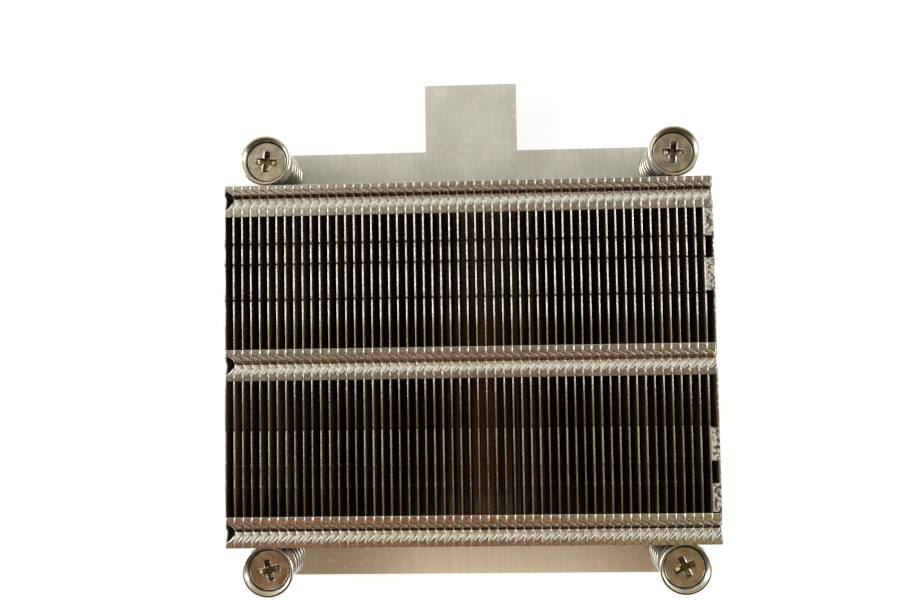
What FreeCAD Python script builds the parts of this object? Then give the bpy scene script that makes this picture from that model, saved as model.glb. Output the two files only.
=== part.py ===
"""Passive server CPU heatsink: a stack of interlocking folded fins on a base plate with four spring screws.

Units are millimetres and +Z is up. The origin is the centre of the contact land under the base plate, at
the centre of the screw pattern. Air flows along Y between the fins, the tongue points to +Y (rear), and the
fins are stacked along X. Each fin is one folded sheet: a wall, a foot that is soldered to the plate, and
three top flanges whose tabs step over the next fin and lock the stack together.
"""

import FreeCAD, Part
import math
import os
from FreeCAD import Vector

# ---- driving dimensions ---------------------------------------------------------------------------------

# base plate, tongue and contact land
screw_spacing_x = 80.0
plate_margin = 4.5
plate_thick = 3.5
plate_corner_r = 4.5
tongue_width = 19.5
tongue_length = 14.4
tongue_shift = 0.4
land_width = 46.0
land_depth = 42.0
land_height = 0.5
screw_hole_clearance = 0.4

# fin stack
fin_count = 57
fins_per_node = 2
fin_pitch = 1.68
fin_thick = 0.3
fin_length = 69.8
fin_height = 19.7
stack_shift_x = -0.5
stack_shift_y = -0.25
seam_gap = 0.03

# one interlock band, from its rear edge to its front edge
flat_rear = 1.1
groove_rear = 1.65
groove_front = 2.2
flat_front = 1.2
groove_depth = 1.4
slot_clearance = 0.1

# windows in the end fin's flange, measured from the middle of the stack
inner_window_end = 13.0
outer_window_start = 19.2
outer_window_end = 23.5

# captive screw with a standard 4 mm thread
thread_r = 2.0
shank_r = 1.75
thread_below_plate = 4.5
head_r = 3.85
head_thick = 1.5
recess_span = 3.9
recess_bottom_span = 1.7
recess_width = 0.95
recess_depth = 1.7

# spring cup; it and the screw's head have enough flat sides to read as round
round_sides = 24
cup_wall = 0.75
cup_floor = 0.8
cup_to_fin_gap = 0.35
rim_above_head = 1.4
running_clearance = 0.08
head_clearance = 0.15
seat_gap = 0.02

# compression spring
spring_length = 14.1
spring_wire = 0.95
spring_mean_r = 3.9
spring_active_coils = 5
spring_closed_coils = 1
runs_per_coil = 8

# retaining clip, an open ring that grips the shank under the plate
clip_r = 3.6
clip_thick = 0.6
clip_mouth_half_angle = 40.0
clip_runs = 8
clip_gap = 0.05

# how far each cross recess has been turned, by corner, in degrees
recess_turn = {"rear_left": -7.0, "rear_right": -7.0, "front_left": 15.0, "front_right": 24.0}

# ---- places worked out from them ------------------------------------------------------------------------

plate_bottom_z = land_height
plate_top_z = plate_bottom_z + plate_thick
fin_top_z = plate_top_z + fin_height
band_width = flat_rear + groove_rear + groove_front + flat_front
band_rear_edges = (fin_length / 2, band_width / 2, band_width - fin_length / 2)

cup_underside_z = plate_top_z + spring_length
head_underside_z = cup_underside_z + cup_floor + seat_gap
head_top_z = head_underside_z + head_thick
rim_z = head_top_z + rim_above_head
cup_hole_r = thread_r + running_clearance
cup_bore_r = head_r + head_clearance
cup_r = cup_bore_r + cup_wall
screw_hole_r = thread_r + screw_hole_clearance
screw_tip_z = plate_bottom_z - thread_below_plate
clip_bottom_z = plate_bottom_z - clip_gap - clip_thick
thread_top_z = clip_bottom_z - clip_gap

# the two rows of screws stand just clear of the fins' ends
screw_spacing_y = fin_length + 2 * (cup_r + cup_to_fin_gap)
plate_half_x = screw_spacing_x / 2 + plate_margin
plate_half_y = screw_spacing_y / 2 + plate_margin

corners = {
    "rear_left": Vector(-screw_spacing_x / 2, screw_spacing_y / 2, 0),
    "rear_right": Vector(screw_spacing_x / 2, screw_spacing_y / 2, 0),
    "front_left": Vector(-screw_spacing_x / 2, -screw_spacing_y / 2, 0),
    "front_right": Vector(screw_spacing_x / 2, -screw_spacing_y / 2, 0),
}

MITRED = 1  # corner style of a sweep along straight runs

# ---- helpers --------------------------------------------------------------------------------------------


def polygon_face(points):
    """A plane face inside a closed run of straight edges."""
    return Part.Face(Part.makePolygon([*points, points[0]]))


def rounded_block(width, depth, height, corner_r, z):
    """An upright block centred on the Z axis, with its four upright edges rounded."""
    block = Part.makeBox(width, depth, height, Vector(-width / 2, -depth / 2, z))
    upright = [e for e in block.Edges if abs(e.BoundBox.ZLength - height) < 1e-6]
    return block.makeFillet(corner_r, upright)


def upright_cylinder(radius, bottom_z, top_z):
    """A round bar on the Z axis."""
    return Part.makeCylinder(radius, top_z - bottom_z, Vector(0, 0, bottom_z))


def many_sided(corner_r, bottom_z, top_z):
    """An upright prism on the Z axis with round_sides sides."""
    angles = [2 * math.pi * side / round_sides for side in range(round_sides)]
    outline = [Vector(corner_r * math.cos(a), corner_r * math.sin(a), bottom_z) for a in angles]
    return polygon_face(outline).extrude(Vector(0, 0, top_z - bottom_z))


# ---- base plate -----------------------------------------------------------------------------------------


def base_plate():
    """Plate with rounded corners, rear tongue, contact land and four clearance holes."""
    plate = rounded_block(2 * plate_half_x, 2 * plate_half_y, plate_thick, plate_corner_r, plate_bottom_z)
    tongue_root = plate_half_y - plate_corner_r
    tongue = Part.makeBox(
        tongue_width,
        tongue_length + plate_corner_r,
        plate_thick,
        Vector(tongue_shift - tongue_width / 2, tongue_root, plate_bottom_z),
    )
    land = Part.makeBox(land_width, land_depth, land_height, Vector(-land_width / 2, -land_depth / 2, 0))
    body = plate.fuse([tongue, land])
    for centre in corners.values():
        hole_start = centre + Vector(0, 0, plate_bottom_z)
        body = body.cut(Part.makeCylinder(screw_hole_r, plate_thick, hole_start))
    return body.removeSplitter()


# ---- fins -----------------------------------------------------------------------------------------------
# A fin is modelled with the left face of its wall on x = 0 and the middle of its length on y = 0.


def band_stations(rear_edge):
    """Y of a band's flats and groove, from rear to front."""
    flat_end = rear_edge - flat_rear
    groove = flat_end - groove_rear
    flat_start = groove - groove_front
    return {
        "rear": rear_edge,
        "flat_end": flat_end,
        "groove": groove,
        "flat_start": flat_start,
        "front": flat_start - flat_front,
    }


def flange_ribbon(at):
    """The flange's section along Y, with its pressed V groove, two pitches wide."""
    top = [
        (at["rear"], fin_top_z),
        (at["flat_end"], fin_top_z),
        (at["groove"], fin_top_z - groove_depth),
        (at["flat_start"], fin_top_z),
        (at["front"], fin_top_z),
    ]
    underside = [(y, z - fin_thick) for y, z in reversed(top)]
    section = polygon_face([Vector(0, y, z) for y, z in top + underside])
    return section.extrude(Vector(2 * fin_pitch, 0, 0))


def flange_outline(at):
    """Plan of the flange: along the rear slope it crosses over the next fin, and then it comes back."""
    reach = fin_pitch - seam_gap
    left = [
        (0, at["rear"]),
        (0, at["flat_end"]),
        (fin_pitch, at["groove"]),
        (0, at["flat_start"]),
        (0, at["front"]),
    ]
    right = [(x + reach, y) for x, y in reversed(left)]
    bottom_z = fin_top_z - groove_depth - 2 * fin_thick
    plan = polygon_face([Vector(x, y, bottom_z) for x, y in left + right])
    return plan.extrude(Vector(0, 0, groove_depth + 3 * fin_thick))


def top_flange(rear_edge):
    """One interlocking top flange."""
    at = band_stations(rear_edge)
    return flange_ribbon(at).common(flange_outline(at))


def tab_slot(rear_edge):
    """The V slot in a wall that the tab of the fin before it passes through."""
    at = band_stations(rear_edge)
    shoulder_z = fin_top_z - fin_thick
    outline = [
        (at["flat_end"], fin_top_z),
        (at["flat_end"], shoulder_z),
        (at["groove"], shoulder_z - groove_depth - slot_clearance),
        (at["flat_start"], shoulder_z),
        (at["flat_start"], fin_top_z),
    ]
    return polygon_face([Vector(0, y, z) for y, z in outline]).extrude(Vector(fin_thick, 0, 0))


def slotted_wall():
    """A fin's upright wall with its three tab slots."""
    wall = Part.makeBox(fin_thick, fin_length, fin_height, Vector(0, -fin_length / 2, plate_top_z))
    return wall.cut([tab_slot(edge) for edge in band_rear_edges])


def regular_fin():
    """Wall, foot and three top flanges, folded from one sheet."""
    foot_width = fin_pitch - seam_gap
    foot = Part.makeBox(foot_width, fin_length, fin_thick, Vector(0, -fin_length / 2, plate_top_z))
    flanges = [top_flange(edge) for edge in band_rear_edges]
    return slotted_wall().fuse([foot, *flanges]).removeSplitter()


def last_regular_fin(fin):
    """The fin beside the end fin: its tabs have nothing to lock into, so they are cropped."""
    own_pitch = fin_pitch - seam_gap
    room = Part.makeBox(own_pitch, fin_length, fin_height, Vector(0, -fin_length / 2, plate_top_z))
    return fin.common(room)


def end_strip(y_low, y_high):
    """A piece of the end fin's flange, turned back over the last gap."""
    strip_width = fin_pitch - fin_thick - seam_gap
    corner = Vector(-strip_width, y_low, fin_top_z - fin_thick)
    return Part.makeBox(strip_width, y_high - y_low, fin_thick, corner)


def end_fin():
    """The wall that closes the stack, with its flange left between two windows and beside the outer bands."""
    outer_end = band_rear_edges[0] - band_width - seam_gap
    strips = []
    for near, far in ((inner_window_end, outer_window_start), (outer_window_end, outer_end)):
        strips.append(end_strip(near, far))
        strips.append(end_strip(-far, -near))
    return slotted_wall().fuse(strips).removeSplitter()


def fin_place(index):
    """Where the fin of that number stands in the stack."""
    first_x = stack_shift_x - fin_thick / 2 - fin_pitch * (fin_count - 1) / 2
    return Vector(first_x + fin_pitch * index, stack_shift_y, 0)


def fin_nodes():
    """The stack, a few separate fins to a node, and the end fin in a node of its own."""
    fin = regular_fin()
    cropped = last_regular_fin(fin)
    last = fin_count - 2
    nodes = {}
    for start in range(0, fin_count - 1, fins_per_node):
        members = range(start, min(start + fins_per_node, fin_count - 1))
        shapes = [(cropped if i == last else fin).translated(fin_place(i)) for i in members]
        nodes[f"fin_pair_{start // fins_per_node + 1:02d}"] = Part.makeCompound(shapes)
    nodes["end_fin"] = end_fin().translated(fin_place(fin_count - 1))
    return nodes


# ---- captive screws -------------------------------------------------------------------------------------
# Each is modelled on the Z axis and moved to its corner.


def cross_recess():
    """A cross recess: two tapered blades that cross at the head's centre."""
    blade_outline = [
        Vector(-recess_span / 2, -recess_width / 2, head_top_z),
        Vector(recess_span / 2, -recess_width / 2, head_top_z),
        Vector(recess_bottom_span / 2, -recess_width / 2, head_top_z - recess_depth),
        Vector(-recess_bottom_span / 2, -recess_width / 2, head_top_z - recess_depth),
    ]
    blade = polygon_face(blade_outline).extrude(Vector(0, recess_width, 0))
    crossing = blade.copy()
    crossing.rotate(Vector(0, 0, 0), Vector(0, 0, 1), 90)
    return blade.fuse(crossing)


def captive_screw(turn):
    """Flat-headed screw: a thread under the plate, a thinner shank through the spring, and a cross recess."""
    thread = upright_cylinder(thread_r, screw_tip_z, thread_top_z)
    shank = upright_cylinder(shank_r, thread_top_z, head_underside_z)
    head = many_sided(head_r, head_underside_z, head_top_z)
    recess = cross_recess()
    recess.rotate(Vector(0, 0, 0), Vector(0, 0, 1), turn)
    return thread.fuse([shank, head]).cut(recess)


def cup_ring(bore_r, bottom_z, top_z):
    """A ring of the cup's outer size, whose bore stays clear of a circle of bore_r."""
    bore_corner_r = bore_r / math.cos(math.pi / round_sides)
    return many_sided(cup_r, bottom_z, top_z).cut(many_sided(bore_corner_r, bottom_z, top_z))


def spring_cup():
    """Cup with a rim round the screw's head, and a floor between the head and the spring."""
    floor_z = cup_underside_z + cup_floor
    rim = cup_ring(cup_bore_r, floor_z, rim_z)
    floor = cup_ring(cup_hole_r, cup_underside_z, floor_z)
    return rim.fuse(floor).removeSplitter()


def spring_centre_line():
    """Points on the wire's centre line: a closed coil, the active coils and a closed coil."""
    active_rise = spring_length - spring_wire / 2 - 2 * spring_closed_coils * spring_wire
    active_pitch = active_rise / spring_active_coils
    coils = spring_active_coils + 2 * spring_closed_coils
    points = []
    for run in range(coils * runs_per_coil + 1):
        turns = run / runs_per_coil
        active_turns = min(max(turns - spring_closed_coils, 0), spring_active_coils)
        rise = active_turns * active_pitch + (turns - active_turns) * spring_wire
        angle = 2 * math.pi * turns
        across = Vector(math.cos(angle), math.sin(angle), 0) * spring_mean_r
        points.append(across + Vector(0, 0, plate_top_z + spring_wire / 4 + rise))
    return points


def compression_spring():
    """A coil between plate and cup, in straight runs, with its closed end coils ground flat."""
    points = spring_centre_line()
    half = spring_wire / 2
    around = [Vector(half, 0, 0), Vector(0, 0, half), Vector(-half, 0, 0), Vector(0, 0, -half)]
    section = polygon_face([points[0] + offset for offset in around]).OuterWire
    coil = Part.makePolygon(points).makePipeShell([section], True, False, MITRED)
    reach = spring_mean_r + spring_wire
    between = Part.makeBox(2 * reach, 2 * reach, spring_length, Vector(-reach, -reach, plate_top_z))
    return coil.common(between)


def clip_arc(radius, z):
    """Points round the clip at that radius, from one side of its mouth to the other."""
    first = math.radians(90 + clip_mouth_half_angle)
    sweep = math.radians(360 - 2 * clip_mouth_half_angle)
    angles = [first + sweep * run / clip_runs for run in range(clip_runs + 1)]
    return [Vector(radius * math.cos(a), radius * math.sin(a), z) for a in angles]


def retaining_clip():
    """Open ring that snaps onto the shank under the plate and stops the screw from leaving it."""
    half_run = math.radians(180 - clip_mouth_half_angle) / clip_runs
    grip_r = (shank_r + clip_gap) / math.cos(half_run)
    outline = clip_arc(clip_r, clip_bottom_z) + clip_arc(grip_r, clip_bottom_z)[::-1]
    return polygon_face(outline).extrude(Vector(0, 0, clip_thick))


def screw_nodes():
    """Screw, cup, spring and clip at each corner."""
    cup = spring_cup()
    spring = compression_spring()
    clip = retaining_clip()
    nodes = {}
    for corner, centre in corners.items():
        nodes[f"captive_screw_{corner}"] = captive_screw(recess_turn[corner]).translated(centre)
        nodes[f"spring_cup_{corner}"] = cup.translated(centre)
        nodes[f"compression_spring_{corner}"] = spring.translated(centre)
        nodes[f"retaining_clip_{corner}"] = clip.translated(centre)
    return nodes


# ---- write the parts ------------------------------------------------------------------------------------

os.makedirs("parts", exist_ok=True)
all_nodes = {"base_plate": base_plate(), **fin_nodes(), **screw_nodes()}
for node, shape in all_nodes.items():
    shape.exportStep(f"parts/{node}.step")
    print(f"{node}: {len(shape.Solids)} solid(s), {shape.Volume:.1f} mm3, valid {shape.isValid()}")
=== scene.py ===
import math

import bpy
import numpy as np
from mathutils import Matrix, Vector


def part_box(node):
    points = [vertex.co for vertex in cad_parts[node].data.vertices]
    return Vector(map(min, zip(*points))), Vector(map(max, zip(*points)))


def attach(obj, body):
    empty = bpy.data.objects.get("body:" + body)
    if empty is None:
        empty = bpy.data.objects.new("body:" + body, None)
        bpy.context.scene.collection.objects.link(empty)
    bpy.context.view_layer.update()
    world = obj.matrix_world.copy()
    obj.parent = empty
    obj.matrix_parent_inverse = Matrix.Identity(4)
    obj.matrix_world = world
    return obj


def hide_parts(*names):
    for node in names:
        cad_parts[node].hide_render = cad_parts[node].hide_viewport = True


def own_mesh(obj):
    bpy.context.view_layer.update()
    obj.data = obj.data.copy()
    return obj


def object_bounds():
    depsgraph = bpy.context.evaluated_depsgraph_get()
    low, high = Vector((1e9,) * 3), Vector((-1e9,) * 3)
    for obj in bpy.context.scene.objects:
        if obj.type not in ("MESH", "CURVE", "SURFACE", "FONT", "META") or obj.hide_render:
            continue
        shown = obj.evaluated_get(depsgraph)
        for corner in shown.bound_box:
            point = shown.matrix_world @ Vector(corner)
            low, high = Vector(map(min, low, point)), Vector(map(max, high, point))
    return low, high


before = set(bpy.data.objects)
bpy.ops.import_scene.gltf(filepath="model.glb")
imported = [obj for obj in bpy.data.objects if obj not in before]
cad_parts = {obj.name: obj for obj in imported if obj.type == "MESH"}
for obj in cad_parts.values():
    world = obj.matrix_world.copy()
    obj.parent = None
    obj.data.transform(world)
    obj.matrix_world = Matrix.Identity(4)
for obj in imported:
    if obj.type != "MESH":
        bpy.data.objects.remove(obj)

cad_low, cad_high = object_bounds()
mm = 0.001

# ---- Studio ---------------------------------------------------------------------------------------------
# A white table with soft lamps at the left, right and front, in a room that is warm brown at the front and
# bright at the back. The polished metal mirrors that room, so its colours are part of the light. The
# camera looks nearly straight down.


class Shade:
    """One output of a shader node. Arithmetic on it adds Math nodes to the same tree."""

    def __init__(self, tree, socket):
        self.tree = tree
        self.socket = socket

    def add(self, kind, settings=None, sockets=None, output=0):
        """Adds a node: its settings, then a value or a link for each socket. Returns one of its outputs."""
        node = self.tree.nodes.new("ShaderNode" + kind)
        for name, value in (settings or {}).items():
            if name == "stops":
                ramp = node.color_ramp.elements
                while len(ramp) < len(value):
                    ramp.new(1.0)
                for stop, (place, colour) in zip(ramp, value):
                    stop.position = place
                    stop.color = (*colour, 1.0)
            else:
                setattr(node, name, value)
        for name, value in (sockets or {}).items():
            if isinstance(value, Shade):
                self.tree.links.new(value.socket, node.inputs[name])
            else:
                node.inputs[name].default_value = value
        return Shade(self.tree, node.outputs[output]) if node.outputs else None

    def math(self, operation, *others):
        """This value and others through one Math node."""
        return self.add("Math", {"operation": operation}, dict(enumerate((self, *others))))

    def __add__(self, other):
        return self.math("ADD", other)

    def __sub__(self, other):
        return self.math("SUBTRACT", other)

    def __mul__(self, other):
        return self.math("MULTIPLY", other)

    def __rsub__(self, other):
        return self.add("Math", {"operation": "SUBTRACT"}, {0: other, 1: self})

    __radd__ = __add__
    __rmul__ = __mul__

    def smooth(self, low, high):
        """0 below low and 1 above high, with a smooth step between them."""
        sockets = {"Value": self, "From Min": low, "From Max": high}
        return self.add("MapRange", {"interpolation_type": "SMOOTHSTEP"}, sockets)

    def mix(self, first, second):
        """The colour first where this value is 0 and second where it is 1."""
        sides = [side if isinstance(side, Shade) else (*side, 1.0) for side in (first, second)]
        return self.add("Mix", {"data_type": "RGBA"}, {0: self, 6: sides[0], 7: sides[1]}, output=2)


def tint(red, green, blue):
    """A colour as a screen shows it, in linear values: each level over 255, to the power 2.2."""
    return tuple((level / 255) ** 2.2 for level in (red, green, blue))


ceiling_height = 188.0


def ceiling_over(x, y):
    """The unit direction of a place on the ceiling: its offsets and height, over their joint length."""
    direction = np.array([x, y, ceiling_height])
    return tuple(direction / np.linalg.norm(direction))


world = bpy.data.worlds.new("room")
bpy.context.scene.world = world
world.use_nodes = True
world.node_tree.nodes.clear()
sky = Shade(world.node_tree, None)
direction = sky.add("TexCoord")
toward_back = sky.add("SeparateXYZ", None, {0: direction}, output=1) * 0.5 + 0.5
room = sky.add(
    "ValToRGB",
    {
        "stops": [
            (0.00, tint(46, 36, 26)),
            (0.18, tint(60, 46, 34)),
            (0.30, tint(78, 58, 42)),
            (0.37, tint(90, 66, 46)),
            (0.41, tint(120, 88, 62)),
            (0.45, tint(118, 98, 76)),
            (0.50, tint(110, 104, 92)),
            (0.58, tint(154, 146, 125)),
            (0.66, tint(220, 216, 195)),
            (0.80, tint(245, 242, 225)),
            (0.91, tint(235, 232, 214)),
            (0.95, tint(252, 247, 232)),
            (1.00, tint(255, 250, 236)),
        ]
    },
    {0: toward_back},
)
# Patches of the ceiling and walls: each one's place, its reach, the softness of its edge, and its colour.
for (x, y), reach, softness, colour in (
    ((-42, 30), 20, 9, tint(184, 178, 150)),
    ((-6, 30), 21, 9, tint(112, 100, 80)),
    ((36, 28), 12, 8, tint(164, 156, 138)),
    ((-45, 40), 12, 5, tint(255, 250, 212)),
    ((38, 39), 12, 5, tint(52, 48, 36)),
    ((-38, -2), 15, 7, tint(72, 73, 64)),
    ((-8, -2), 17, 7, tint(122, 98, 72)),
    ((-6, -60), 26, 12, tint(160, 108, 62)),
    ((-34, -32), 12, 6, tint(114, 86, 62)),
    ((4, -33), 21, 8, tint(138, 76, 40)),
    ((36, -32), 12, 7, tint(90, 76, 56)),
    ((-45, -46), 12, 5, tint(250, 142, 80)),
    ((38, -46), 14, 5, tint(255, 228, 156)),
    ((46, 92), 34, 12, tint(120, 106, 84)),
    ((62, 150), 46, 14, tint(120, 106, 84)),
    ((2, 84), 34, 12, tint(180, 136, 90)),
    ((4, 150), 42, 14, tint(180, 136, 90)),
):
    centre = ceiling_over(x, y)
    near = sky.add("VectorMath", {"operation": "DOT_PRODUCT"}, {0: direction, 1: centre}, output=1)
    angle = near.math("ARCCOSINE")
    inside = 1.0 - angle.smooth((reach - softness) / ceiling_height, (reach + softness) / ceiling_height)
    room = inside.mix(room, colour)
height = sky.add("SeparateXYZ", None, {0: direction}, output=2)
sideways = sky.add("SeparateXYZ", None, {0: direction}, output=0).math("ABSOLUTE").smooth(0.3, 0.55)
sideways = sideways * toward_back.smooth(0.2, 0.42)
walls = (1.0 - height.smooth(0.5, 0.75)) * toward_back.smooth(0.45, 0.6).math("MAXIMUM", sideways)
room = walls.mix(room, tint(252, 249, 236))
horizon = (1.0 - height.smooth(0.02, 0.15)) * toward_back.smooth(0.2, 0.42)
room = horizon.mix(room, tint(235, 231, 220))
shine = sky.add("Background", None, {"Color": room, "Strength": 1.0})
sky.add("OutputWorld", None, {"Surface": shine})

table_half = 3.0
table = bpy.data.meshes.new("table")
table.from_pydata(
    [(x * table_half, y * table_half, cad_low.z) for x, y in ((-1, -1), (1, -1), (1, 1), (-1, 1))],
    [],
    [(0, 1, 2, 3)],
)
table_top = bpy.data.objects.new("table_top", table)
bpy.context.scene.collection.objects.link(table_top)
paper = bpy.data.materials.new("white_paper")
paper.use_nodes = True
paper.node_tree.nodes.clear()
page = Shade(paper.node_tree, None)
matte = page.add("BsdfDiffuse", None, {"Color": (0.80, 0.83, 0.90, 1.0)})
glow = page.add("Emission", None, {"Color": (1.0, 1.0, 1.0, 1.0), "Strength": 1.5})
lit = page.add("MixShader", None, {0: 0.5, 1: matte, 2: glow})
path = page.add("LightPath").socket.node.outputs
seen = Shade(paper.node_tree, path["Is Camera Ray"])
seen = seen.math("MAXIMUM", Shade(paper.node_tree, path["Is Glossy Ray"]))
seen = seen.math("MAXIMUM", Shade(paper.node_tree, path["Is Transmission Ray"]))
page.add("OutputMaterial", None, {"Surface": page.add("MixShader", None, {0: seen, 1: matte, 2: lit})})
table.materials.append(paper)


def soft_light(name, place, size, brightness, colour, mirrored=True):
    """A square area lamp that faces the middle of the part. Its power is pi times its area times its
    brightness, and polished metal only shows it if it is mirrored."""
    lamp = bpy.data.lights.new(name, "AREA")
    lamp.shape = "SQUARE"
    lamp.size = size
    lamp.energy = math.pi * size**2 * brightness
    lamp.color = colour
    holder = bpy.data.objects.new(name, lamp)
    holder.location = place
    holder.rotation_euler = (-holder.location).to_track_quat("-Z", "Y").to_euler()
    holder.visible_glossy = mirrored
    bpy.context.scene.collection.objects.link(holder)


soft_light("left_lamp", (-0.80, 0.10, 0.55), 0.40, 5.5, (1.0, 0.99, 0.96))
soft_light("right_lamp", (0.85, 0.05, 0.45), 0.35, 5.5, (1.0, 1.0, 1.0))
soft_light("front_lamp", (0.10, -0.75, 0.50), 0.40, 7.5, (1.0, 0.86, 0.66), mirrored=False)

lens = bpy.data.cameras.new("camera")
lens.sensor_width = 36.0
lens.lens = 39.24
camera = bpy.data.objects.new("camera", lens)
camera.rotation_mode = "ZYX"
camera.location = (3.488 * mm, 1.622 * mm, 211.747 * mm)
camera.rotation_euler = (0.0536, 0.0392, -0.0181)
lens.clip_start = 0.01
bpy.context.scene.collection.objects.link(camera)
bpy.context.scene.camera = camera
bpy.context.scene.view_settings.view_transform = "Standard"

# ---- Base plate -----------------------------------------------------------------------------------------
# Flat nickel-plated plate with a tongue at the rear. The plating is satin, with a fine rolled grain along
# Y and small pale specks. Its front strip has painted light and shade: warm in the middle and brown
# towards the two front corners, by the springs.


def new_finish(name):
    """An empty material and a starting Shade in its tree."""
    material = bpy.data.materials.new(name)
    material.use_nodes = True
    material.node_tree.nodes.clear()
    return material, Shade(material.node_tree, None)


def finish_metal(start, colour, roughness, height, bump, metallic=1.0):
    """Ends a material as metal, more or less, with a height in millimetres for its bump."""
    normal = start.add("Bump", None, {"Height": height, "Distance": mm, "Strength": bump})
    sockets = {"Base Color": colour, "Metallic": metallic, "Roughness": roughness, "Normal": normal}
    surface = start.add("BsdfPrincipled", None, sockets)
    start.add("OutputMaterial", None, {"Surface": surface})


def stretched_noise(start, scales, detail=3.0):
    """Noise on the piece's own coordinates, with a number of cells per metre along each axis."""
    place = start.add("TexCoord", output=3)
    scaled = start.add("Mapping", None, {"Vector": place, "Scale": scales})
    return start.add("TexNoise", None, {"Vector": scaled, "Scale": 1.0, "Detail": detail})


def repaint(node, material):
    """Puts a material on a CAD node that stays as it is."""
    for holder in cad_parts[node].material_slots:
        holder.material = material


least_shaded_x = 0.004
plate_paint, shade = new_finish("satin_nickel")
grain = stretched_noise(shade, (2600.0, 110.0, 400.0))
cloud = stretched_noise(shade, (60.0, 60.0, 60.0))
specks = stretched_noise(shade, (900.0, 900.0, 900.0), 1.0).smooth(0.64, 0.72)
place = shade.add("TexCoord", output=3)
along_x = shade.add("SeparateXYZ", None, {0: place}, output=0)
along_y = shade.add("SeparateXYZ", None, {0: place}, output=1)
plate_colour = cloud.smooth(0.35, 0.65).mix((0.70, 0.74, 0.66), (0.86, 0.91, 0.83))
# Painted light and shade on the front strip: warm in the middle, brown towards the front corners.
from_middle = (along_x - least_shaded_x).math("ABSOLUTE")
front_strip_shade = from_middle.smooth(0.012, 0.036).mix((0.98, 0.88, 0.74), (0.60, 0.47, 0.36))
plate_colour = along_y.smooth(-0.030, -0.040).mix(plate_colour, front_strip_shade)
plate_colour = (grain.smooth(0.35, 0.75) * 0.2).mix(plate_colour, (0.52, 0.52, 0.45))
plate_colour = (specks * 0.5).mix(plate_colour, (0.97, 0.98, 0.92))
plate_relief = grain * 0.012 + specks * 0.01
finish_metal(shade, plate_colour, 0.42 + 0.16 * grain, plate_relief, 0.6, metallic=0.1)
repaint("base_plate", plate_paint)

# ---- Folded fins ----------------------------------------------------------------------------------------
# Thin rolled sheets, each folded to a foot, a wall and three top flanges. A flange starts over its own
# gap, crosses over the next fin in the V groove and locks there. The folds and sheared edges are bright
# and rounded.

sheet = 0.3
seam = 0.03
groove_depth = 1.05

first_low, first_high = (np.array(corner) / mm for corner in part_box("fin_pair_01"))
next_low = np.array(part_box("fin_pair_02")[0]) / mm
pitch = (next_low[0] - first_low[0]) / 2
foot_z, top_z = first_low[2], first_high[2]
stack_rear, stack_front = first_high[1], first_low[1]
stack_mid = (stack_rear + stack_front) / 2

# Each band: its rear edge, then the lengths of its rear flat, rear slope, front slope and front flat.
bands = (
    (stack_rear + 0.05, 0.9, 1.6, 2.25, 1.35),
    (stack_mid + 2.98, 1.1, 1.78, 1.95, 1.17),
    (stack_front + 5.83, 1.25, 1.6, 1.95, 1.03),
)
# For each band: how dark the painted shade on its rear slope is, and the share of the slope where it starts.
band_shade = ((0.85, 0.5), (0.55, 0.31), (1.0, 0.4))


def lofted(rows, burnish):
    """A closed skin through rows of points, each a closed loop, with flat caps and a burnish for each."""
    count, around = rows.shape[:2]
    index = np.arange(count * around).reshape(count, around)
    after = np.roll(index, -1, axis=1)
    sides = np.stack([index[:-1], after[:-1], after[1:], index[1:]], axis=-1).reshape(-1, 4)
    caps = [index[0][::-1].tolist(), index[-1].tolist()]
    return rows.reshape(-1, 3), sides, caps, np.broadcast_to(burnish, rows.shape[:2]).reshape(-1)


def volume_of(points, sides):
    """Signed volume inside a skin: the sum over its faces of the triple product of their corners."""
    a, b, c, d = (points[sides[:, k]] for k in range(4))
    return np.sum(a * np.cross(b, c)) + np.sum(a * np.cross(c, d))


crease_angle = 35.0


def add_piece(name, skins, material, body, slot, *nodes):
    """One object from several closed skins, in millimetres, in place of the named CAD nodes."""
    corners, faces, burnish, used = [], [], [], 0
    for points, sides, caps, polish_and_shade in skins:
        centred = points - points.mean(axis=0)
        turn = 1 if volume_of(centred, sides) > 0 else -1
        corners.append(points * mm)
        burnish.append(polish_and_shade)
        faces += (sides[:, ::turn] + used).tolist()
        faces += [[k + used for k in cap[::turn]] for cap in caps]
        used += len(points)
    mesh = bpy.data.meshes.new(name)
    mesh.from_pydata(np.concatenate(corners).tolist(), [], faces)
    mesh.attributes.new("burnish", "FLOAT", "POINT").data.foreach_set("value", np.concatenate(burnish))
    mesh.materials.append(material)
    mesh.shade_smooth()
    mesh.set_sharp_from_angle(angle=math.radians(crease_angle))
    piece = bpy.data.objects.new(name, mesh)
    bpy.context.scene.collection.objects.link(piece)
    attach(piece, body)
    if nodes:
        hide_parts(*nodes)
    return piece


def band_lines(band):
    """Y of a band's rear edge, of its groove's start, bottom and end, and of its front edge."""
    rear, flat_rear, slope_rear, slope_front, flat_front = band
    groove_start = rear - flat_rear
    groove_bottom = groove_start - slope_rear
    groove_end = groove_bottom - slope_front
    return rear, groove_start, groove_bottom, groove_end, groove_end - flat_front


steep_share = 0.46
eased_reach = 0.05


def groove_drop(y, band):
    """Depth of the groove, averaged over a short reach. The rear slope is level, then falls straight over
    its last share. Where a share r of the front slope is climbed, 1 - r + r (1 - r)^2 / 2 is left."""
    rear, groove_start, groove_bottom, groove_end, front = band_lines(band)
    at = y + np.linspace(-eased_reach, eased_reach, 7).reshape((7,) + (1,) * np.ndim(y))
    down = np.clip((groove_start - at) / (groove_start - groove_bottom), 0, 1)
    rise = np.clip(1 - (at - groove_end) / (groove_bottom - groove_end), 0, 1)
    steep = np.maximum(0.0, 1 - (1 - down) / steep_share)
    hollow = 1 - rise + 0.5 * rise * (1 - rise) ** 2
    return groove_depth * np.mean(np.where(down < 1, steep, hollow), axis=0)


cross_length = 1.05
back_length = 1.4


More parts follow.
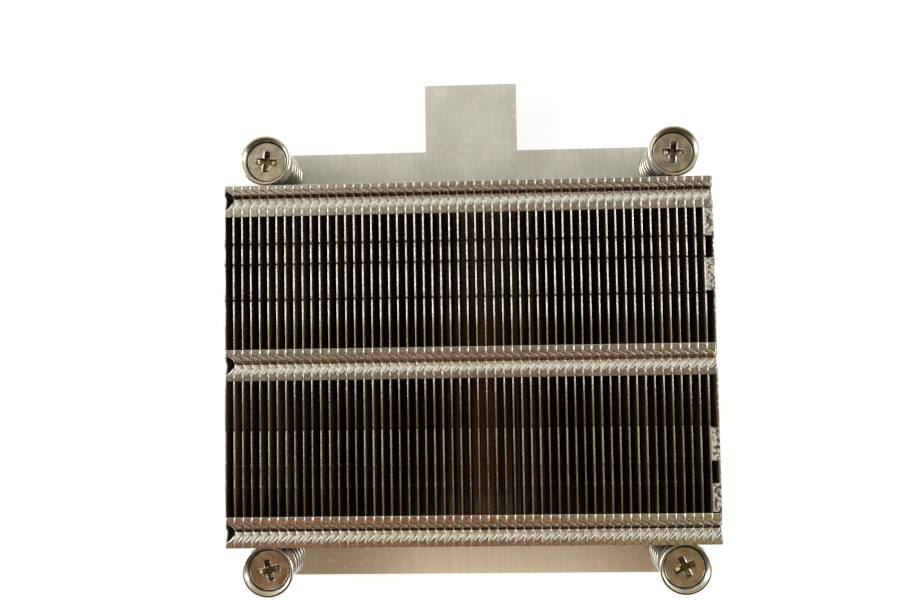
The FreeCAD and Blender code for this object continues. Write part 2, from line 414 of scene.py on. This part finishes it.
def crossing(y, band):
    """Share of a pitch that a seam has moved across: as a sine while it slants over the rear slope, and a
    power of the way that is left once it comes back, whichever is less."""
    rear, groove_start, groove_bottom, groove_end, front = band_lines(band)
    over = np.clip((groove_start + 0.05 - y) / cross_length, 0, 1)
    back = np.clip((groove_end + back_length - y) / back_length, 0, 1)
    return np.minimum(np.sin(over * np.pi / 2) ** 0.95, (1 - back) ** 0.6)


columns = np.array([0.0, 0.03, 0.07, 0.12, 0.19, 0.3, 0.5, 0.7, 0.9, 1.0])[None, :]
under_columns = (19, 14, 10, 9, 5, 0)
under_polish = [0.5, 0.0, 0.0, 0.0, 0.0, 1.0]
bend_start = 0.96
bend_width = 0.06
fold_r = 0.28
worn_edge = 0.22
worn_slope = 0.6
sheared_edge = 0.06
sheared_drop = 0.04
end_drop = 0.03
crown_height = 0.05
bright_edge = 0.16
crop_reach = 0.08


def flange_skin(band, shade_level, wall_x, cropped=False):
    """A flange: flat over its own gap, and pressed into the groove past the next wall, between two seams.
    From the stack's top it is lowered by the groove, by the quarter circle of its fold (or a chamfer, once
    it has crossed over), and by a square law at its sheared edge, and is raised by a parabola across it."""
    rear, groove_start, groove_bottom, groove_end, front = band_lines(band)
    y = np.concatenate(
        [
            [rear, rear - 0.04, (rear + groove_start) / 2, groove_start + 0.06],
            np.linspace(groove_start, groove_end, 41),
            [groove_end - 0.06, front + 0.04, front],
        ]
    )
    share = crossing(y, band)[:, None]
    left = wall_x + pitch * share
    in_front = np.clip((groove_bottom + 0.2 - y) / 0.3, 0, 1) * np.clip((y - groove_end) / 0.2, 0, 1)
    right = wall_x + pitch * (share + 1) - seam - 0.06 * in_front[:, None]
    if cropped:
        right = np.minimum(right, wall_x + pitch - seam + crop_reach)
        left = np.minimum(left, right - 0.02)
    bend_near = np.clip(wall_x + pitch * bend_start, left + 0.01, right - 0.03)
    bend_far = np.clip(wall_x + pitch * (bend_start + bend_width), bend_near + 0.01, right - 0.02)
    near_part = left + columns * (bend_near - left)
    x = np.concatenate([near_part, bend_far + columns * (right - bend_far)], axis=1)
    inward = x - left
    pressed = np.clip(((x - wall_x) / pitch - bend_start) / bend_width, 0, 1)
    pressed = pressed**2 * (3 - 2 * pressed)
    folded = fold_r - np.sqrt(np.clip(fold_r**2 - np.clip(fold_r - inward, 0, None) ** 2, 0, None))
    chamfer = worn_slope * np.clip(worn_edge - inward, 0, None)
    folded = folded + (chamfer - folded) * np.minimum(1, 5 * share)
    sheared = sheared_drop * np.clip(1 - (right - x) / sheared_edge, 0, 1) ** 2
    ends = end_drop * ((y > rear - 0.02) | (y < front + 0.02))[:, None]
    along = inward / (right - left)
    crown = crown_height * (4 * along * (1 - along) - 1) * np.minimum(1, 3 * share)
    drop = groove_drop(y, band)[:, None] * pressed
    z = np.minimum(top_z - drop - folded - sheared - ends + crown, top_z)
    top = np.stack([x, y[:, None] + 0 * x, z], axis=-1)
    under = top[:, under_columns].copy()
    under[..., 2] = (top_z - drop - sheet)[:, under_columns]
    cut = np.clip(1.5 - inward / bright_edge, 0, 1)
    # Painted shade, low on the groove's rear slope, is carried as a negative burnish.
    darkness, shade_from = shade_level
    shade_start = groove_start - shade_from * (groove_start - groove_bottom)
    painted_shade = -darkness * np.clip((shade_start - y) / 0.2, 0, 1) * (y > groove_bottom)
    polish_and_shade = np.where(cut > 0.2, cut, painted_shade[:, None] * pressed)
    polish_and_shade = np.concatenate([polish_and_shade, np.tile(under_polish, (len(y), 1))], axis=1)
    return lofted(np.concatenate([top, under], axis=1), polish_and_shade)


slot_room = 0.15


def wall_height(y):
    """Height of a wall's top edge: full in the fields, under the folds, and a V slot below each groove."""
    height = np.full_like(y, top_z)
    for band in bands:
        rear, groove_start, groove_bottom, groove_end, front = band_lines(band)
        inside = (y < rear + 1e-6) & (y > front - 1e-6)
        under = top_z - groove_drop(y, band) - sheet * 0.9
        slot = (y < groove_start) & (y > groove_end)
        height = np.where(inside, np.where(slot, under - slot_room, under), height)
    return height


# Small notches in the walls' top edges, by distance from the stack's middle, and the beads among them.
relief_places = (12.5, 19.4, 23.4)
beads = (-23.4, -19.4)
relief_depth = 0.22
bead_swell = 0.06
# What each corner of a wall's section starts with, from its lower left over its crest to its lower right:
# its burnish, negative for painted shade, and how strongly the crest's painted shade takes from it.
wall_polish_and_shade = [-2.0, -2.0, -1.5, 0.1, 0.6, 0.1, -1.5, -2.0, -2.0]
wall_shading = [0.0, 0.0, 0.0, 2.4, 0.2, 2.4, 0.0, 0.0, 0.0]


def wall_skin(wall_x, with_foot=True):
    """A wall with its foot: an L section across X for each Y, with a half circle for its top edge. The
    crest's shoulders get painted shade, more so towards the front."""
    steps = []
    for band in bands:
        rear, groove_start, groove_bottom, groove_end, front = band_lines(band)
        steps += [rear, rear - 1e-3, groove_start, groove_start - 1e-3]
        steps += list(np.linspace(groove_start - 0.1, groove_end + 0.1, 9))
        steps += [groove_end, front, front - 1e-3]
    reliefs = np.array([sign * place for place in relief_places for sign in (-1, 1)]) + stack_mid
    for place in reliefs:
        steps += [place - 0.3, place - 0.16, place, place + 0.16, place + 0.3]
    y = np.unique(np.clip(np.array(steps), stack_front, stack_rear))[::-1]
    near = np.abs(y[:, None] - reliefs[None, :]).min(axis=1)
    beaded = np.abs(y[:, None] - (np.array(beads) + stack_mid)[None, :]).min(axis=1) < 0.35
    dip = np.clip(1 - near / 0.2, 0, 1)
    top = wall_height(y) - np.where(beaded, 0.0, relief_depth * dip)
    swell = np.where(beaded, bead_swell * np.sqrt(np.clip(1 - near / 0.3, 0, 1)), 0.0)
    zeros = np.zeros_like(y)
    middle = sheet / 2
    bend = np.radians(np.linspace(180, 0, 7))
    x_loop = [zeros] + [middle + (middle + swell) * np.cos(angle) for angle in bend] + [zeros + sheet]
    z_loop = [foot_z + zeros] + [top - middle + middle * np.sin(angle) for angle in bend]
    polish_and_shade, shading = np.array(wall_polish_and_shade), np.array(wall_shading)
    if with_foot:
        foot_end = zeros + (pitch - seam)
        x_loop += [foot_end, foot_end]
        z_loop += [foot_z + sheet + zeros, foot_z + sheet + zeros]
        polish_and_shade, shading = np.append(polish_and_shade, [-2.0, -2.0]), np.append(shading, [0.0, 0.0])
    z_loop += [foot_z + zeros]
    x = wall_x + np.stack(x_loop, axis=1)
    z = np.stack(z_loop, axis=1)
    worn_and_shaded = polish_and_shade[None, :] * np.where(polish_and_shade > 0, (1 - 0.85 * dip)[:, None], 1.0)
    # Painted shade on the crest's shoulders, stronger towards the front.
    crest_shade = 0.45 + 0.5 * np.clip((stack_mid - y) / 12, 0, 1)[:, None]
    worn_and_shaded = worn_and_shaded - crest_shade * shading[None, :]
    return lofted(np.stack([x, y[:, None] + 0 * x, z], axis=-1), worn_and_shaded)


def fin_finish(name, patchy):
    """Rolled aluminium with bright edges where its burnish is positive, and with painted shade where it is
    negative (brown to near black low in the grooves, dull dark brown on the walls), more or less patchy on
    top."""
    material, shade = new_finish(name)
    mottle = stretched_noise(shade, (2000.0, 1500.0, 900.0), 3.0)
    streak = stretched_noise(shade, (900.0, 25.0, 60.0), 2.0)
    burnish = shade.add("Attribute", {"attribute_name": "burnish"}, output=2)
    painted_shade = (burnish * -1.0).math("MAXIMUM", 0.0)
    bright = burnish.math("MAXIMUM", 0.0)
    spread, clean = 0.14, ((0.62, 0.61, 0.58), (0.88, 0.87, 0.84))
    if patchy:
        spread, clean = 0.10, ((0.10, 0.10, 0.095), (0.94, 0.94, 0.92))
    colour = mottle.smooth(0.5 - spread, 0.5 + spread).mix(*clean)
    height = shade.add("SeparateXYZ", None, {0: shade.add("TexCoord", output=3)}, output=2)
    in_groove = height.smooth((top_z - 0.08) * mm, (top_z - 0.2) * mm)
    # Painted shade in the grooves: brown where the negative burnish is slight, near black where it is
    # strong.
    colour = (painted_shade.smooth(0.0, 0.5) * in_groove).mix(colour, (0.50, 0.34, 0.20))
    colour = (painted_shade.smooth(0.5, 1.0) * in_groove).mix(colour, (0.05, 0.03, 0.02))
    # Painted shade on the walls' sides and feet and on the crests' shoulders: dull dark brown, less
    # metallic.
    shade_colour = streak.smooth(0.35, 0.65).mix((0.08, 0.055, 0.038), (0.28, 0.215, 0.15))
    deep_shade = painted_shade.smooth(1.0, 1.6)
    colour = deep_shade.mix(colour, shade_colour)
    colour = bright.mix(colour, (0.95, 0.945, 0.92))
    roughness = 0.18 + 0.16 * mottle + 0.1 * bright
    metallic = (0.55 if patchy else 1.0) - 0.4 * deep_shade
    finish_metal(shade, colour, roughness, mottle * 0.03 + streak * 0.02, 0.5, metallic)
    return material


fin_paint = fin_finish("rolled_aluminium", False)
fin_nodes = sorted(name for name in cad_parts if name.startswith("fin_pair_"))
fins_made = 0
for node in fin_nodes:
    skins = []
    for second in (False, True):
        wall_x = first_low[0] + pitch * fins_made
        cropped = second and node == fin_nodes[-1]
        skins.append(wall_skin(wall_x))
        for band, shade_level in zip(bands, band_shade):
            skins.append(flange_skin(band, shade_level, wall_x, cropped))
        fins_made += 1
    name = node.replace("fin_pair", "folded_fins")
    add_piece(name, skins, fin_paint, "heatsink", "fin_aluminium", node)

# ---- End fin --------------------------------------------------------------------------------------------
# The last sheet closes the stack. Its flange is turned back over the last gap and is punched out in
# windows, so that only two strips of it are left beside each outer band.

inner_window_end = 13.0
outer_window_start = 19.2
outer_window_end = 23.5
tucked_in = 0.05


def end_strip(near, far, wall_x):
    """A flat strip of the end flange, eased in a straight line at its fold, with a bright free edge."""
    y = np.linspace(near, far, 25)
    width = pitch - sheet - seam
    across = np.linspace(0, 1, 6)[None, :]
    x = wall_x + sheet - tucked_in - (width + sheet - tucked_in) * (1 - across) + 0 * y[:, None]
    eased = 0.03 * np.clip(1 - (1 - across) * width / 0.1, 0, 1)
    z = top_z - eased + 0 * x
    top = np.stack([x, y[:, None] + 0 * x, z], axis=-1)
    under = top[:, ::-1].copy()
    under[..., 2] = top_z - sheet
    polish_and_shade = np.concatenate([np.clip(1 - 8 * across, 0, 1) + 0 * x, 0 * x], axis=1)
    return lofted(np.concatenate([top, under], axis=1), polish_and_shade)


end_paint = fin_finish("patchy_aluminium", True)
end_x = first_low[0] + pitch * fins_made
outer_far = stack_rear - sum(bands[0][1:]) - seam - stack_mid
skins = [wall_skin(end_x, with_foot=False)]
for near, far in ((inner_window_end, outer_window_start), (outer_window_end, outer_far)):
    skins.append(end_strip(stack_mid + near, stack_mid + far, end_x))
    skins.append(end_strip(stack_mid - far, stack_mid - near, end_x))
add_piece("closing_fin", skins, end_paint, "heatsink", "fin_aluminium", "end_fin")

# ---- Compression springs --------------------------------------------------------------------------------
# Round steel wire, wound with one closed coil at each end, and ground flat where it sits on the plate and
# under the cup.

corners = ("rear_left", "rear_right", "front_left", "front_right")
wire = 0.95
spring_r = 3.9
active_coils = 5
closed_coils = 1
steps_per_coil = 36
wire_sides = 12


def coil_skin(centre, bottom, top):
    """A round wire along a helix, whose rise is slow in the closed coils, cut off level at both ends."""
    coils = active_coils + 2 * closed_coils
    turns = np.linspace(0, coils, steps_per_coil * coils + 1)
    rise = (top - bottom - wire / 2 - 2 * closed_coils * wire) / active_coils
    active = np.clip(turns - closed_coils, 0, active_coils)
    height = bottom + wire / 4 + active * rise + (turns - active) * wire
    heading = 2 * np.pi * turns[:, None]
    around = np.linspace(0, 2 * np.pi, wire_sides, endpoint=False)[None, :]
    out = spring_r + wire / 2 * np.cos(around)
    x = centre[0] + out * np.cos(heading)
    y = centre[1] + out * np.sin(heading)
    z = np.clip(height[:, None] + wire / 2 * np.sin(around), bottom, top)
    return lofted(np.stack([x, y, z], axis=-1), 0.0)


wire_paint, shade = new_finish("bright_wire")
drawn = stretched_noise(shade, (700.0, 700.0, 2500.0), 2.0)
wire_colour = drawn.smooth(0.35, 0.7).mix((0.50, 0.48, 0.43), (0.72, 0.70, 0.64))
finish_metal(shade, wire_colour, 0.2 + 0.12 * drawn, drawn * 0.015, 0.5)
for corner in corners:
    node = f"compression_spring_{corner}"
    low, high = (np.array(point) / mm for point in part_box(node))
    cup_low, cup_high = (np.array(point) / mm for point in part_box(f"spring_cup_{corner}"))
    centre = (cup_low + cup_high) / 2
    skin = coil_skin(centre, low[2], high[2])
    spring = add_piece(f"coil_spring_{corner}", [skin], wire_paint, "heatsink", "spring_steel", node)
    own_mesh(spring)

# ---- Spring cups ----------------------------------------------------------------------------------------
# Turned and nickel-plated. Each cup's floor holds the screw's head up against the spring. Above the head
# the bore flares to a dish, and the rim is turned out a little, with a polished and rounded lip.

cup_hole_r = 2.08
cup_floor = 0.8
cup_wall = 0.75
foot_r = 0.2
rim_height = 1.2
lip_r = 0.5
lip_reach = 0.35
lip_out = 0.2
bore_lip_r = 0.12
flare = 0.45
flare_depth = 1.5
round_steps = 96


def turned_skin(centre, profile, dark_below, bore_reach):
    """A closed profile of (radius, height) points, turned round an upright axis, with painted shade in its
    bore.
    """
    heading = np.linspace(0, 2 * np.pi, round_steps, endpoint=False)[None, :]
    radius, height = (np.array(column)[:, None] for column in zip(*profile))
    x, y = centre[0] + radius * np.cos(heading), centre[1] + radius * np.sin(heading)
    rows = np.stack([x, y, height + 0 * heading], axis=-1)
    index = np.arange(rows.shape[0] * round_steps).reshape(rows.shape[0], round_steps)
    below = np.roll(index, -1, axis=0)
    sides = np.stack([index, np.roll(index, -1, axis=1), np.roll(below, -1, axis=1), below], axis=-1)
    recess_shade = -np.clip((dark_below - height) / 0.3, 0, 1) * (radius < bore_reach) + 0 * heading
    return rows.reshape(-1, 3), sides.reshape(-1, 4), [], recess_shade.reshape(-1)


def arc(radius, height, curve_r, start, end):
    """Seven points of an arc in the profile's plane, between two angles in degrees."""
    angles = np.radians(np.linspace(start, end, 7))
    return list(zip(radius + curve_r * np.cos(angles), height + curve_r * np.sin(angles)))


cup_paint, shade = new_finish("polished_nickel")
rub = stretched_noise(shade, (800.0, 800.0, 2500.0), 3.0)
shaded = (shade.add("Attribute", {"attribute_name": "burnish"}, output=2) * -1.0).math("MAXIMUM", 0.0)
cup_colour = rub.smooth(0.3, 0.75).mix((0.80, 0.78, 0.70), (0.97, 0.955, 0.88))
# Painted shade in the bore under the dish.
cup_colour = shaded.mix(cup_colour, (0.13, 0.10, 0.06))
finish_metal(shade, cup_colour, 0.12 + 0.16 * rub, rub * 0.012, 0.5)
for corner in corners:
    node = f"spring_cup_{corner}"
    low, high = (np.array(point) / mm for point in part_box(node))
    centre = (low + high) / 2
    outer = (high[0] - low[0]) / 2
    bore = outer - cup_wall
    floor, rim = low[2] + cup_floor, high[2]
    profile = [(cup_hole_r, low[2]), (outer - foot_r, low[2])]
    profile += arc(outer - foot_r, low[2] + foot_r, foot_r, -90, 0)
    profile += [(outer, rim - rim_height)]
    profile += arc(outer + lip_out - lip_reach, rim - lip_r, lip_r, 45, 90)
    profile += arc(bore + flare + bore_lip_r, rim - bore_lip_r, bore_lip_r, 90, 165)
    dish = [(bore + flare * (1 - down) ** 1.3, rim - flare_depth * down) for down in (0.25, 0.5, 0.75, 1)]
    profile += [*dish, (bore, floor + 0.1), (bore - 0.1, floor), (cup_hole_r, floor)]
    skin = turned_skin(centre, profile, rim - flare_depth, bore + 0.02)
    add_piece(f"head_cup_{corner}", [skin], cup_paint, f"cup_{corner}", "cup_nickel", node)

# ---- Captive screws -------------------------------------------------------------------------------------
# Steel screws with a flat head and a cross recess, plated like the cups. The shank is thinner than the
# thread, so that the clip under the plate can't pass the thread.

recess_turn = {"rear_left": -7.0, "rear_right": -7.0, "front_left": 15.0, "front_right": 24.0}
recess_span = 4.15
recess_bottom_span = 1.7
recess_width = 0.95
recess_depth = 1.0
burr_height = 0.09
recess_shade_depth = 0.35


def recess_cut(x, y):
    """Depth of the cross recess: in each of two blades the lesser of the root of the way in from its end
    and the way in from its leaning side, less a burr that stands along the sides."""
    slope = (recess_span - recess_bottom_span) / 2
    deep = []
    for along, aside in ((np.abs(x), np.abs(y)), (np.abs(y), np.abs(x))):
        ends = np.sqrt(np.clip((recess_span / 2 - along) / slope, 0, 1))
        walls = np.clip((recess_width / 2 + 0.06 - aside) / 0.16, 0, 1)
        deep.append(np.minimum(ends, walls))
    cut = np.maximum(*deep)
    fading = np.clip(1 - np.hypot(x, y) / (recess_span / 2 + 0.3), 0, 0.2) * 5
    from_side = np.abs(np.minimum(np.abs(x), np.abs(y)) - recess_width / 2 - 0.16)
    burr = np.clip(1 - from_side / 0.12, 0, 1) * fading
    return recess_depth * cut - burr_height * burr * (cut == 0)


head_thick = 1.5
head_edge_r = 0.22
shank_r = 1.75
thread_r = 2.0
thread_pitch = 0.7
thread_depth = 0.35
clip_gap = 0.05


def screw_skin(centre, low, high, head_r, thread_top, turn):
    """One skin from the head's middle round its edge and down the shank and thread to the tip's middle.
    The thread is cut by its depth times the distance of twice the phase from 1, where the phase is the
    height in pitches less the heading in turns."""
    inner = np.linspace(0.02, recess_span / 2 + 0.15, 40)
    outer = np.linspace(recess_span / 2 + 0.3, head_r - head_edge_r, 6)
    profile = [(radius, high) for radius in (*inner, *outer)]
    profile += arc(head_r - head_edge_r, high - head_edge_r, head_edge_r, 80, 0)
    under = high - head_thick
    profile += [(head_r, under + 0.1), (head_r - 0.1, under), (shank_r, under), (shank_r, thread_top)]
    profile += [(radius, thread_top) for radius in (shank_r + 0.05, thread_r - thread_depth)]
    threaded = np.arange(thread_top - 0.05, low + 0.5, -thread_pitch / 8)
    profile += [(thread_r, height) for height in threaded]
    profile += [(thread_r - thread_depth, low + 0.15), (thread_r - 0.6, low), (0.02, low)]
    heading = np.linspace(0, 2 * np.pi, round_steps, endpoint=False)[None, :]
    radius, height = (np.array(column)[:, None] + 0 * heading for column in zip(*profile))
    in_thread = (radius == thread_r) & (height < thread_top - 0.01)
    phase = (height / thread_pitch - heading / (2 * np.pi)) % 1.0
    radius = np.where(in_thread, thread_r - thread_depth * np.abs(2 * phase - 1), radius)
    x, y = radius * np.cos(heading), radius * np.sin(heading)
    on_top = np.arange(len(profile))[:, None] < len(inner)
    swing = math.radians(turn)
    cut = recess_cut(x * math.cos(swing) + y * math.sin(swing), y * math.cos(swing) - x * math.sin(swing))
    height = np.where(on_top, height - cut, height)
    # Painted shade in the cross recess, darker with the depth of the cut.
    recess_shade = np.where(on_top, -np.clip(cut / recess_shade_depth, 0, 1), 0.0)
    return lofted(np.stack([centre[0] + x, centre[1] + y, height], axis=-1), recess_shade)


screw_paint, shade = new_finish("worn_nickel")
stain = stretched_noise(shade, (520.0, 520.0, 520.0), 4.0)
pits = stretched_noise(shade, (1800.0, 1800.0, 1800.0), 2.0)
sunk = (shade.add("Attribute", {"attribute_name": "burnish"}, output=2) * -1.0).math("MAXIMUM", 0.0)
screw_colour = stain.smooth(0.35, 0.7).mix((0.56, 0.54, 0.46), (0.92, 0.90, 0.83))
# Painted shade in the cross recess, broken up by pits.
screw_colour = (sunk.smooth(0.1, 0.7) * pits.smooth(0.72, 0.55)).mix(screw_colour, (0.20, 0.16, 0.09))
finish_metal(shade, screw_colour, 0.2 + 0.2 * stain, pits * 0.05 + stain * 0.12, 0.9)
for corner in corners:
    node = f"captive_screw_{corner}"
    low, high = (np.array(point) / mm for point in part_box(node))
    clip_low, clip_high = (np.array(point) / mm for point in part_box(f"retaining_clip_{corner}"))
    centre = (low + high) / 2
    head_r = (high[0] - low[0]) / 2
    skin = screw_skin(centre, low[2], high[2], head_r, clip_low[2] - clip_gap, recess_turn[corner])
    add_piece(f"screw_{corner}", [skin], screw_paint, f"screw_{corner}", "screw_steel", node)
    repaint(f"retaining_clip_{corner}", wire_paint)
